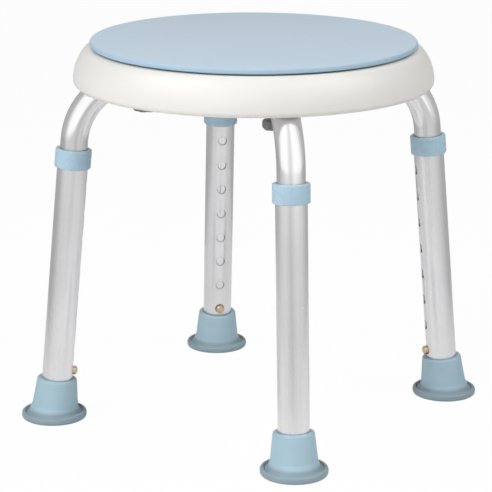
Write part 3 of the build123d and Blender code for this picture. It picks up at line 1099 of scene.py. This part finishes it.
@dataclass
class UpperLeg(LegPart):
    """Bent upper tube, with its plug, spring clip and snap button.

    Attributes:
        wall: Wall of the tube.
        bend_radius: Centre line of the bend.
        bend_steps: Straight steps in the bend.
        segments: Steps around the tube.
        button_flange: How far the button's flange stands out.
        button_flange_thickness: Thickness of that flange.
        button_face: Radius of the button's flat face, as a share of its own.
        button_crown: How far the button's side ends behind its face.
        button_edge: Broken edges of the button.
        button_shoulder: Rounding of the button's crown.
        button_segments: Steps around the button.
    """

    wall: float = 0.0015
    bend_radius: float = 0.060
    bend_steps: int = 24
    segments: int = 64
    button_flange: float = 0.0010
    button_flange_thickness: float = 0.0012
    button_face: float = 0.62
    button_crown: float = 0.0014
    button_edge: float = 0.0003
    button_shoulder: float = 0.0012
    button_segments: int = 48

    def build(self) -> None:
        """Builds the tube and the button, and dresses the pieces inside."""
        self.build_tube()
        self.build_button()
        self.dress_inside(tube_plug=Slot.PLUG, snap_clip=Slot.CLIP)

    def build_tube(self) -> None:
        """Sweeps the tube's two walls along the leg, the bend and the run."""
        bottom = self.span("upper_tube")[0].z
        radius = self.radius("upper_tube")
        run_end = span(self.side.node("upper_tube"), self.stance.foot)[1]
        run_height = run_end.z - radius
        lean = self.stance.lean
        bend_start = (run_height - self.bend_radius * (1 - math.sin(lean))) / math.cos(lean)
        run_start = bend_start * math.sin(lean) + self.bend_radius * math.cos(lean)
        bend_angle = math.pi / 2 - lean
        stations = [(bottom, 0.0, 0.0), (bend_start, 0.0, 0.0)]
        stations += [(bend_start, bend_angle * step / self.bend_steps, 0.0)
                     for step in range(1, self.bend_steps + 1)]
        stations.append((bend_start, bend_angle, run_end.x - run_start))
        surface = Surface()
        walls = []
        for wall_radius in (radius, radius - self.wall):
            rows = [self.station_ring(surface, wall_radius, *station) for station in stations]
            walls.append(rows)
        for rows in walls:
            for row, following in zip(rows, rows[1:]):
                surface.strip(row, following, closed=True)
        outer, inner = walls
        for end in (0, -1):
            surface.strip(outer[end], inner[end], closed=True)
        tube = surface.make(self.side.node("bent_tube"), self.stance.leg)
        self.dress(tube, Slot.UPPER_TUBE, "seat_frame", "upper_tube")

    def station_ring(self, surface: Surface, radius: float, start: float, bend: float,
                     past: float) -> list[int]:
        """Adds one ring of the bent tube.

        Args:
            surface: The mesh.
            radius: Radius of the ring.
            start: Place along the leg where the straight part ends.
            bend: Angle bent so far.
            past: Length past the bend.

        Returns:
            Numbers of the ring's points.
        """
        ahead = Vector((math.sin(bend), 0.0, math.cos(bend)))
        across = Vector((math.cos(bend), 0.0, -math.sin(bend)))
        sideways = Vector((0.0, 1.0, 0.0))
        centre = Vector((self.bend_radius * (1 - math.cos(bend)), 0.0,
                         start + self.bend_radius * math.sin(bend))) + ahead * past
        angles = [math.tau * number / self.segments for number in range(self.segments)]
        length = start + self.bend_radius * bend + past
        surface.straightened += [upright(angle, radius, length) for angle in angles]
        return surface.row([
            centre + across * (radius * math.cos(angle)) + sideways * (radius * math.sin(angle))
            for angle in angles
        ])

    def build_button(self) -> None:
        """Turns the snap button, with a slightly raised flat face."""
        low, high = self.span("snap_button")
        flange = self.radius("snap_button")
        pin = flange - self.button_flange
        shoulder = low.x + self.button_flange_thickness
        edge = self.button_edge
        middle = (low.z + high.z) / 2
        outline = soften([
            Corner(0.0, high.x),
            Corner(pin * self.button_face, high.x, edge),
            Corner(pin * self.button_face + edge, high.x - edge, edge),
            Corner(pin, high.x - self.button_crown, self.button_shoulder),
            Corner(pin, shoulder),
            Corner(flange, shoulder, edge),
            Corner(flange, low.x, edge),
            Corner(0.0, low.x),
        ], closed=False)

        def outwards(angle: float, radius: float, height: float) -> Vector:
            """Point of a shape turned about the button's axis."""
            return Vector((height, radius * math.cos(angle), middle + radius * math.sin(angle)))

        surface = Surface()
        surface.turn(outline, self.button_segments, closed=False, place=outwards)
        button = surface.make(self.side.node("button_cap"), self.stance.leg)
        self.dress(button, Slot.BUTTON, self.side.node("button"), "snap_button")


@dataclass
class LowerLeg(LegPart):
    """Lower tube with its height holes, its collar and its foot.

    Attributes:
        wall: Wall of the tube.
        hole_radius: Radius of a height hole.
        hole_pitch: Distance between holes.
        hole_count: How many holes there are.
        hole_chamfer: Edge broken around each hole.
        hole_rings: Shares of the way from a hole's square to its rim where rings of mesh lie.
        patch_half_width: Half the width of the strip of mesh that holds the holes.
        patch_half_steps: Steps in that half.
        segments: Steps around the rest of the tube.
        fit: Gap between the tube and the pieces pushed over it.
        collar_rounding: Rounded ends of the collar.
        collar_edge: Broken edges inside the collar.
        collar_steps: Steps in each of the collar's rounded edges.
        round_segments: Steps around the collar and the foot.
        foot_steps: Steps in each of the foot's rounded edges.
        foot_lip: Outside radius of the foot's upper end.
        foot_lip_rounding: Rounded edge of that end.
        foot_lip_chamfer: Broken edge around the tube.
        foot_cone: Radius of the foot's cone, carried down to the floor.
        foot_floor: Rubber under the tube.
        rim_height: Height of the flange's raised rim.
        rim_width: Width of that rim.
        rim_slope: How far the rim's inner side leans.
        rim_rounding: Outer rounding of the rim.
        crease_height: Height of the crease inside the rim.
        crease_rounding: Rounding of that crease.
        flare_width: How far the cone spreads towards the crease.
        flare_rise: How far the spread rises before it steepens.
        flare_height: Height at which the cone begins to spread.
        flare_rounding: Hollow rounding of the spread.
        upright_from: Height from which the foot's rings are square to the leg.
        sole_grooves: Radii of the sole's grooves, as shares of the flange's.
        groove_width: Width of a groove.
        groove_depth: Depth of a groove.
        groove_rounding: Rounding in the bottom of a groove.
    """

    wall: float = 0.0012
    hole_radius: float = 0.0044
    hole_pitch: float = 0.0254
    hole_count: int = 8
    hole_chamfer: float = 0.0003
    hole_rings: tuple[float, ...] = (0.5, 0.8, 1.0)
    patch_half_width: float = 0.0085
    patch_half_steps: int = 3
    segments: int = 52
    fit: float = 0.00005
    collar_rounding: float = 0.0013
    collar_edge: float = 0.0005
    collar_steps: int = 8
    round_segments: int = 96
    foot_steps: int = 7
    foot_lip: float = 0.01825
    foot_lip_rounding: float = 0.0022
    foot_lip_chamfer: float = 0.0003
    foot_cone: float = 0.0225
    foot_floor: float = 0.0070
    rim_height: float = 0.0064
    rim_width: float = 0.0034
    rim_slope: float = 0.0005
    rim_rounding: float = 0.0022
    crease_height: float = 0.0050
    crease_rounding: float = 0.000275
    flare_width: float = 0.0012
    flare_rise: float = 0.0012
    flare_height: float = 0.0125
    flare_rounding: float = 0.0050
    upright_from: float = 0.0140
    sole_grooves: tuple[float, ...] = (0.5, 0.74)
    groove_width: float = 0.0020
    groove_depth: float = 0.0012
    groove_rounding: float = 0.0004

    def build(self) -> None:
        """Builds the tube, collar and foot, and dresses the washer."""
        self.build_tube()
        self.build_collar()
        self.build_foot()
        self.dress_inside(foot_washer=Slot.FASTENER)

    def build_tube(self) -> None:
        """Builds the tube's walls around its row of holes."""
        low, high = self.span("lower_tube")
        radius = self.radius("lower_tube")
        button_low, button_high = self.span("snap_button")
        first = (button_low.z + button_high.z) / 2
        holes = [first + self.hole_pitch * number for number in range(self.hole_count)]
        surface = Surface()
        bore = radius - self.wall
        outer = self.wall_rows(surface, radius, low.z, high.z, holes)
        inner = self.wall_rows(surface, bore, low.z, high.z, holes)
        outer_rims = [self.hole_rim(surface, outer, radius, middle, self.hole_chamfer) for middle in holes]
        inner_rims = [self.hole_rim(surface, inner, bore, middle, 0.0) for middle in holes]
        for outer_rim, inner_rim in zip(outer_rims, inner_rims):
            surface.strip(outer_rim, inner_rim, closed=True)
        for height in (low.z, high.z):
            surface.strip(outer[height], inner[height], closed=True)
        tube = surface.make(self.side.node("holed_tube"), self.stance.leg)
        self.dress(tube, Slot.LOWER_TUBE, self.side.node("leg"), "lower_tube")

    def patch_shares(self) -> list[float]:
        """Places across a hole's square, from one side to the other, as shares of its half width."""
        half = self.patch_half_steps
        return [step / half for step in range(-half, half + 1)]

    def patch_heights(self, middle: float) -> list[float]:
        """Heights of the mesh rows through one hole's square."""
        digits = 7
        return [round(middle + self.hole_pitch / 2 * share, digits) for share in self.patch_shares()]

    def wall_rows(self, surface: Surface, radius: float, bottom: float, top: float,
                  holes: Sequence[float]) -> dict[float, list[int]]:
        """Adds one wall of the tube, with an open square at each hole.

        Args:
            surface: The mesh.
            radius: Radius of the wall.
            bottom: Lower end of the tube.
            top: Upper end of the tube.
            holes: Heights of the holes.

        Returns:
            Numbers of each ring's points, by the ring's height. Each ring begins with the
            points of the strip that holds the holes.
        """
        heights = {bottom, top}
        for middle in holes:
            heights.update(self.patch_heights(middle))
        edge = math.asin(self.patch_half_width / radius)
        around = [math.asin(self.patch_half_width * share / radius) for share in self.patch_shares()]
        last = len(around) - 1
        around += [edge + (math.tau - 2 * edge) * step / self.segments
                   for step in range(1, self.segments)]
        rows = {height: surface.row([upright(angle, radius, height) for angle in around])
                for height in sorted(heights)}
        for height, following in zip(list(rows), list(rows)[1:]):
            row, above = rows[height], rows[following]
            surface.strip(row[last:] + row[:1], above[last:] + above[:1], closed=False)
            middle = (height + following) / 2
            if not any(abs(middle - hole) < self.hole_pitch / 2 for hole in holes):
                surface.strip(row[:last + 1], above[:last + 1], closed=False)
        return rows

    def hole_rim(self, surface: Surface, rows: dict[float, list[int]], radius: float,
                 middle: float, chamfer: float) -> list[int]:
        """Fills the square around one hole, down to the hole's rim.

        Args:
            surface: The mesh.
            rows: The wall's rings by height.
            radius: Radius of the wall.
            middle: Height of the hole.
            chamfer: Edge broken around the hole.

        Returns:
            Numbers of the rim's points.
        """
        levels = self.patch_heights(middle)
        last = len(levels) - 1
        border = [rows[level][last] for level in levels]
        border += reversed(rows[levels[last]][:last])
        border += [rows[level][0] for level in reversed(levels[:last])]
        border += rows[levels[0]][1:last]
        square = [surface.points[number] for number in border]
        turns = [math.tau * (index - self.patch_half_steps) / len(border) for index in range(len(border))]
        wide = self.hole_radius + chamfer
        rings = []
        for share in self.hole_rings:
            ring = []
            for point, turn in zip(square, turns):
                across = point.y + (wide * math.cos(turn) - point.y) * share
                height = point.z + (middle + wide * math.sin(turn) - point.z) * share
                ring.append(Vector((math.sqrt(radius**2 - across**2), across, height)))
            rings.append(ring)
        if chamfer:
            deep = radius - chamfer
            rings.append([
                Vector((math.sqrt(deep**2 - (self.hole_radius * math.cos(turn))**2),
                        self.hole_radius * math.cos(turn), middle + self.hole_radius * math.sin(turn)))
                for turn in turns
            ])
        for ring in rings:
            numbers = surface.row(ring)
            surface.strip(border, numbers, closed=True)
            border = numbers
        return border

    def build_collar(self) -> None:
        """Turns the collar on top of the tube."""
        low, high = self.span("collar")
        tube_top = self.span("lower_tube")[1].z
        outside = self.radius("collar")
        tube = self.radius("lower_tube") + self.fit
        bore = tube - self.wall
        outline = soften([
            Corner(outside, low.z, self.collar_rounding),
            Corner(outside, high.z, self.collar_rounding),
            Corner(bore, high.z, self.collar_edge),
            Corner(bore, tube_top),
            Corner(tube, tube_top),
            Corner(tube, low.z, self.collar_edge),
        ], closed=True, steps=self.collar_steps)
        surface = Surface()
        surface.turn(outline, self.round_segments, closed=True)
        collar = surface.make(self.side.node("collar_ring"), self.stance.leg)
        self.dress(collar, Slot.COLLAR, self.side.node("leg"), "collar")

    def build_foot(self) -> None:
        """Turns the foot, with rings that tilt from the flat flange to the leg."""
        flat_low, flat_high = span(self.side.node("foot"), self.stance.foot)
        flange = (flat_high.y - flat_low.y) / 2
        socket = self.radius("lower_tube") + self.fit
        corners = self.foot_corners(flange, socket, self.span("foot")[1].z)
        lean = self.stance.lean

        def leaning(angle: float, radius: float, height: float) -> Vector:
            """Point of a ring that lies flat in the flange and square to the leg above it."""
            share = eased((height - self.crease_height) / (self.upright_from - self.crease_height))
            if radius > flange - self.rim_width - self.rim_slope:
                share = 0.0
            tilt = lean * share
            across = radius * math.cos(angle)
            return Vector((
                height * math.sin(lean) * share + across * math.cos(tilt),
                radius * math.sin(angle),
                height * (1 - share * (1 - math.cos(lean))) - across * math.sin(tilt),
            ))

        surface = Surface()
        surface.turn(soften(corners, closed=False, steps=self.foot_steps), self.round_segments,
                     closed=False, place=leaning)
        surface.swing(self.stance.foot)
        on_floor = Matrix.Translation(self.stance.foot.translation)
        foot = surface.make(self.side.node("rubber_foot"), on_floor)
        self.dress(foot, Slot.FOOT, self.side.node("leg"), "foot")

    def foot_corners(self, flange: float, socket: float, top: float) -> list[Corner]:
        """Half outline of the foot, from the middle of the sole to the bottom of the socket.

        Args:
            flange: Radius of the flange.
            socket: Radius of the socket for the tube.
            top: Height of the foot along the leg.

        Returns:
            The outline's corners.
        """
        corners = [Corner(0.0, 0.0)]
        for share in self.sole_grooves:
            inner = share * flange - self.groove_width / 2
            outer = share * flange + self.groove_width / 2
            corners += [
                Corner(inner, 0.0), Corner(inner, self.groove_depth, self.groove_rounding),
                Corner(outer, self.groove_depth, self.groove_rounding), Corner(outer, 0.0),
            ]
        cone_slope = (self.foot_lip - self.foot_cone) / top
        flare_start = self.foot_cone + cone_slope * self.flare_height
        rim_inside = flange - self.rim_width
        lip = self.foot_lip_chamfer
        return corners + [
            Corner(flange, 0.0, self.rim_rounding),
            Corner(flange, self.rim_height, self.rim_rounding),
            Corner(rim_inside, self.rim_height, self.rim_rounding / 2),
            Corner(rim_inside - self.rim_slope, self.crease_height, self.crease_rounding),
            Corner(self.foot_cone + self.flare_width, self.crease_height + self.flare_rise,
                   self.flare_rounding),
            Corner(flare_start, self.flare_height, self.flare_rounding),
            Corner(self.foot_lip, top, self.foot_lip_rounding),
            Corner(socket + lip, top, lip / 2),
            Corner(socket, top - lip, lip / 2),
            Corner(socket, self.foot_floor),
            Corner(0.0, self.foot_floor),
        ]


@dataclass
class KnobSet(LegPart):
    """Hand knob, stud and saddle washer that hold one leg to the seat.

    Attributes:
        head_height: Height of the fluted head.
        head_rounding: Rounded edges of the head.
        neck_radius: Radius of the neck above it.
        neck_rounding: Hollow rounding between the head and the neck.
        flutes: How many flutes there are.
        flute_depth: Depth of a flute.
        flute_width: How sharply a flute is pressed in; more is narrower.
        dish_radius: Radius of the shallow dish under the head.
        dish_depth: Depth of that dish.
        dish_slope: How far the dish's side leans.
        edge: Broken edges.
        fit: Gap around the stud.
        segments: Steps around the knob.
    """

    head_height: float = 0.0085
    head_rounding: float = 0.0024
    neck_radius: float = 0.0070
    neck_rounding: float = 0.0012
    flutes: int = 6
    flute_depth: float = 0.0026
    flute_width: float = 2.2
    dish_radius: float = 0.0058
    dish_depth: float = 0.0008
    dish_slope: float = 0.0009
    edge: float = 0.0006
    fit: float = 0.00005
    segments: int = 144

    def build(self) -> None:
        """Builds the knob and dresses the pieces above it."""
        self.build_knob()
        self.dress_inside(knob_stud=Slot.FASTENER, saddle_washer=Slot.SADDLE)

    def build_knob(self) -> None:
        """Turns the knob, with flutes pressed into its head."""
        node = self.side.node("hand_knob")
        low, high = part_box(node)
        stud_low, stud_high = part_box(self.side.node("knob_stud"))
        origin = Vector(((stud_low.x + stud_high.x) / 2, (stud_low.y + stud_high.y) / 2, low.z))
        place = Matrix.Translation(origin) @ self.stance.foot.to_3x3().to_4x4()
        head_low, head_high = span(node, place)
        head = (head_high.x - head_low.x) / 2
        stud = (stud_high.x - stud_low.x) / 2 + self.fit
        tall = high.z - low.z
        stud_end = stud_low.z - low.z
        outline = soften([
            Corner(0.0, self.dish_depth),
            Corner(self.dish_radius, self.dish_depth, self.edge),
            Corner(self.dish_radius + self.dish_slope, 0.0, self.edge),
            Corner(head, 0.0, self.head_rounding),
            Corner(head, self.head_height, self.head_rounding),
            Corner(self.neck_radius, self.head_height, self.neck_rounding),
            Corner(self.neck_radius, tall, self.edge),
            Corner(stud, tall),
            Corner(stud, stud_end),
            Corner(0.0, stud_end),
        ], closed=False)

        def fluted(angle: float, radius: float, height: float) -> Vector:
            """Point of the knob, drawn in where a flute passes; a lobe points along local X."""
            reach = held((radius - self.neck_radius) / (head - self.neck_radius))
            wave = ((1 - math.cos(self.flutes * angle)) / 2) ** self.flute_width
            return upright(angle, radius - self.flute_depth * wave * reach, height)

        surface = Surface()
        surface.turn(outline, self.segments, closed=False, place=fluted)
        knob = surface.make(self.side.node("fluted_knob"), place)
        self.dress(knob, Slot.KNOB, self.side.node("knob"), "hand_knob")


# The studio

FULL_TURN = 360.0


class Ray(Enum):
    """Kinds of ray that see the white background at full strength."""

    CAMERA = "Is Camera Ray"
    GLOSSY = "Is Glossy Ray"
    TRANSMISSION = "Is Transmission Ray"


def seen_by(shader: Shader, *rays: Ray) -> bpy.types.NodeSocket:
    """Value of one for the given kinds of ray, and nought for the rest.

    Args:
        shader: Helper on the tree.
        rays: The kinds of ray.

    Returns:
        The value's socket.
    """
    path = shader.add("ShaderNodeLightPath")
    seen = path.outputs[rays[0].value]
    for ray in rays[1:]:
        seen = shader.figure("MAXIMUM", seen, path.outputs[ray.value])
    return seen


def bearing(azimuth: float, elevation: float) -> Vector:
    """Direction from the stool at an azimuth and elevation in degrees."""
    around = math.radians(azimuth)
    above = math.radians(elevation)
    return Vector((math.sin(around) * math.cos(above), -math.cos(around) * math.cos(above),
                   math.sin(above)))


@dataclass(frozen=True)
class Softbox:
    """One soft lamp.

    Attributes:
        name: Name of the lamp.
        azimuth: Bearing from the stool, in degrees; nought is in front, along -Y.
        elevation: Height above the horizon, in degrees.
        power: Watts.
        distance: Distance from the aim.
        size: Side of the square lamp.
    """

    name: str
    azimuth: float
    elevation: float
    power: float
    distance: float = 2.0
    size: float = 1.2

    def build(self, aim: Vector, shielded: bpy.types.Collection) -> None:
        """Hangs the lamp and points it at the stool.

        Args:
            aim: What it points at.
            shielded: Pieces that the lamp does not light.
        """
        lamp = bpy.data.lights.new(self.name, "AREA")
        lamp.shape = "SQUARE"
        lamp.size = self.size
        lamp.energy = self.power
        holder = bpy.data.objects.new(self.name, lamp)
        direction = bearing(self.azimuth, self.elevation)
        holder.location = aim + direction * self.distance
        holder.rotation_mode = "QUATERNION"
        holder.rotation_quaternion = (-direction).to_track_quat("-Z", "Y")
        holder.visible_camera = False
        holder.light_linking.receiver_collection = shielded
        bpy.context.scene.collection.objects.link(holder)
        log.info("lamp %s", self.name)


@dataclass(frozen=True)
class Panel:
    """One upright panel of the reflection tent.

    Attributes:
        azimuth: Bearing of its middle, in degrees.
        level: Brightness.
    """

    azimuth: float
    level: float

    def turn(self) -> float:
        """Share of a full turn from straight behind."""
        return (self.azimuth + FULL_TURN / 2) % FULL_TURN / FULL_TURN


@dataclass
class Studio:
    """Floor, backdrop, lamps and the tent that the metal reflects.

    Attributes:
        floor_size: Side of the floor.
        floor_tone: Colour of the floor.
        floor_white: Share of plain white in what the camera sees of the floor.
        floor_white_in_gloss: The same for what gloss shows of the floor.
        sky_level: Light from all round.
        aim: What the lamps point at.
        lamps: The soft lamps.
        tent_radius: Radius of the tent.
        tent_height: Height of the tent.
        tent_segments: Steps around the tent.
        open_azimuth: Bearing of the tent's open back, in degrees.
        open_half_width: Half the width of the open back, in degrees.
        open_slope: Width over which the tent rises beside it, in degrees.
        open_height: Height of the tent there.
        tent_fade: Heights between which the tent brightens.
        tent_glow: Its strength below and above them.
        low_grey: Grey that the panels are evened out to below them.
        low_evenness: How far they are evened out there.
        panels: The tent's panels in order of azimuth.
    """

    floor_size: float = 16.0
    floor_tone: Colour = (0.92, 0.92, 0.92)
    floor_white: float = 0.97
    floor_white_in_gloss: float = 0.45
    sky_level: float = 0.015
    aim: Vector = field(default_factory=lambda: Vector((0.0, 0.0, 0.2)))
    lamps: tuple[Softbox, ...] = (
        Softbox("left_softbox", azimuth=-28.0, elevation=45.0, power=22.0),
        Softbox("right_softbox", azimuth=105.0, elevation=45.0, power=22.0),
        Softbox("front_softbox", azimuth=10.0, elevation=18.0, power=12.5),
    )
    tent_radius: float = 0.55
    tent_height: float = 1.60
    tent_segments: int = 96
    open_azimuth: float = -146.0
    open_half_width: float = 55.0
    open_slope: float = 20.0
    open_height: float = 0.46
    tent_fade: tuple[float, float] = (0.215, 0.262)
    tent_glow: tuple[float, float] = (0.93, 1.35)
    low_grey: Colour = (0.58, 0.58, 0.58)
    low_evenness: float = 0.48
    panels: tuple[Panel, ...] = (
        Panel(-150.0, 0.36), Panel(-80.0, 0.38), Panel(-56.0, 0.42), Panel(-24.0, 0.90),
        Panel(10.0, 0.94), Panel(34.0, 0.66), Panel(58.0, 0.95), Panel(90.0, 0.90),
        Panel(112.0, 0.62), Panel(130.0, 0.42), Panel(178.0, 0.36),
    )

    def build(self) -> None:
        """Builds the studio."""
        self.build_floor()
        self.build_sky()
        self.build_tent()
        shielded = self.shield_tubes()
        for lamp in self.lamps:
            lamp.build(self.aim, shielded)

    @staticmethod
    def shield_tubes() -> bpy.types.Collection:
        """Keeps the lamps off the bright tubes, which reflect the tent alone.

        Returns:
            The collection that the lamps leave out.
        """
        shielded = bpy.data.collections.new("tubes_out_of_lamps")
        for side in Side:
            for piece in ("bent_tube", "holed_tube"):
                shielded.objects.link(bpy.data.objects[side.node(piece)])
        for entry in shielded.collection_objects:
            entry.light_linking.link_state = "EXCLUDE"
        return shielded

    def build_floor(self) -> None:
        """Lays the pale floor, clear from below."""
        half = self.floor_size / 2
        surface = Surface()
        corners = ((-half, -half), (half, -half), (half, half), (-half, half))
        surface.faces.append(tuple(surface.row([Vector((x, y, 0.0)) for x, y in corners])))
        material = bpy.data.materials.new("pale_floor")
        shader = blank(material)
        lit = shader.add("ShaderNodeBsdfDiffuse", {"Color": opaque(self.floor_tone)})
        white = shader.add("ShaderNodeEmission", {"Color": WHITE, "Strength": 1.0})
        in_view = seen_by(shader, Ray.CAMERA, Ray.TRANSMISSION)
        straight = shader.figure("MULTIPLY", in_view, self.floor_white)
        mirrored = shader.figure("MULTIPLY", seen_by(shader, Ray.GLOSSY), self.floor_white_in_gloss)
        share = shader.figure("MAXIMUM", straight, mirrored)
        floor = shader.add("ShaderNodeMixShader", {0: share, 1: lit.outputs[0], 2: white.outputs[0]})
        below = shader.add("ShaderNodeNewGeometry").outputs["Backfacing"]
        clear = shader.add("ShaderNodeBsdfTransparent")
        both = shader.add("ShaderNodeMixShader", {0: below, 1: floor.outputs[0], 2: clear.outputs[0]})
        shader.add("ShaderNodeOutputMaterial", {"Surface": both.outputs[0]})
        made = surface.make("studio_floor", Matrix.Identity(4))
        made.data.materials.append(material)

    def build_sky(self) -> None:
        """Sets even light from all round, white where it is seen."""
        world = bpy.data.worlds.new("studio_sky")
        shader = blank(world)
        level = shader.remap(seen_by(shader, *Ray), UNIT, (self.sky_level, 1.0))
        sky = shader.add("ShaderNodeBackground", {"Color": WHITE, "Strength": level})
        shader.add("ShaderNodeOutputWorld", {"Surface": sky.outputs[0]})
        bpy.context.scene.world = world

    def build_tent(self) -> None:
        """Stands a ring of light and grey panels round the stool, seen only in gloss."""
        surface = Surface()
        surface.turn([(self.tent_radius, 0.0), (self.tent_radius, 1.0)], self.tent_segments, closed=False,
                     place=self.tent_point)
        material = bpy.data.materials.new("tent_panels")
        shader = blank(material)
        spot = shader.parts(shader.spot())
        backwards = shader.figure("MULTIPLY", spot["Y"], -1.0)
        around = shader.figure("ARCTAN2", spot["X"], backwards)
        turn = shader.remap(around, (-math.pi, math.pi), UNIT)
        ramp = shader.add("ShaderNodeValToRGB", {"Fac": turn})
        self.paint_panels(ramp.color_ramp)
        painted = ramp.outputs["Color"]
        high = shader.remap(spot["Z"], self.tent_fade, UNIT, smooth=True)
        even = shader.blend(self.low_evenness, painted, opaque(self.low_grey))
        level = shader.remap(high, UNIT, self.tent_glow)
        glow = shader.add("ShaderNodeEmission", {
            "Color": shader.blend(high, even, painted), "Strength": level})
        shader.add("ShaderNodeOutputMaterial", {"Surface": glow.outputs[0]})
        tent = surface.make("reflection_tent", Matrix.Identity(4))
        tent.data.materials.append(material)
        tent.visible_camera = False
        tent.visible_diffuse = False
        tent.visible_shadow = False
        tent.visible_transmission = False

    def tent_point(self, angle: float, radius: float, share: float) -> Vector:
        """Point of the tent, which is lower at the back so that the plate shows the sky there.

        Args:
            angle: Turn about the stool's axis.
            radius: Radius of the tent.
            share: Share of the tent's height.

        Returns:
            The point.
        """
        middle = bearing(self.open_azimuth, 0.0)
        outwards = upright(angle, 1.0, 0.0)
        off_middle = math.degrees(middle.angle(outwards))
        closed = held((off_middle - self.open_half_width) / self.open_slope)
        height = self.open_height + (self.tent_height - self.open_height) * closed
        return upright(angle, radius, height * share)

    def paint_panels(self, ramp: bpy.types.ColorRamp) -> None:
        """Writes the panels into a colour ramp.

        Args:
            ramp: The ramp, from half a turn behind to half a turn ahead.
        """
        ramp.interpolation = "EASE"
        ordered = sorted(self.panels, key=Panel.turn)
        first, last = ramp.elements
        first.position = ordered[0].turn()
        last.position = ordered[-1].turn()
        for panel in ordered[1:-1]:
            ramp.elements.new(panel.turn())
        for element, panel in zip(ramp.elements, ordered):
            element.color = opaque((panel.level, panel.level, panel.level))


@dataclass(frozen=True)
class PhotoCamera:
    """Camera at the photograph's viewing angle.

    Attributes:
        azimuth: Bearing from the aim, in degrees.
        elevation: Height above the horizon, in degrees.
        distance: Distance from the aim.
        aim: Middle of the picture.
        roll: Turn about the line of sight, in degrees.
        lens: Focal length in millimetres.
        sensor: Width of the sensor in millimetres.
        reach: Nearest and furthest distance that it shows.
    """

    azimuth: float = 33.92
    elevation: float = 15.12
    distance: float = 2.12
    aim: tuple[float, float, float] = (-0.00516, -0.00381, 0.15497)
    roll: float = 0.197
    lens: float = 166.75
    sensor: float = 36.0
    reach: tuple[float, float] = (0.05, 60.0)

    def build(self) -> None:
        """Sets up the camera."""
        camera = bpy.data.cameras.new("photo_camera")
        camera.lens = self.lens
        camera.sensor_width = self.sensor
        camera.clip_start, camera.clip_end = self.reach
        holder = bpy.data.objects.new("photo_camera", camera)
        back = bearing(self.azimuth, self.elevation)
        holder.location = Vector(self.aim) + back * self.distance
        turn = Matrix.Rotation(math.radians(self.roll), 4, "Z")
        holder.rotation_mode = "QUATERNION"
        holder.rotation_quaternion = (-back).to_track_quat("-Z", "Y") @ turn.to_quaternion()
        bpy.context.scene.collection.objects.link(holder)
        bpy.context.scene.camera = holder


def main() -> None:
    """Builds the stool, its finishes and the studio."""
    logging.basicConfig(level=logging.INFO, format="%(name)s: %(message)s")
    bpy.context.scene.view_settings.view_transform = "Standard"
    wardrobe = Wardrobe(Effects())
    Seat(wardrobe).build()
    for side in Side:
        stance = Stance.of(side)
        for pieces in (UpperLeg, LowerLeg, KnobSet):
            pieces(side, stance, wardrobe).build()
    Studio().build()
    PhotoCamera().build()


if __name__ == "__main__":
    main()
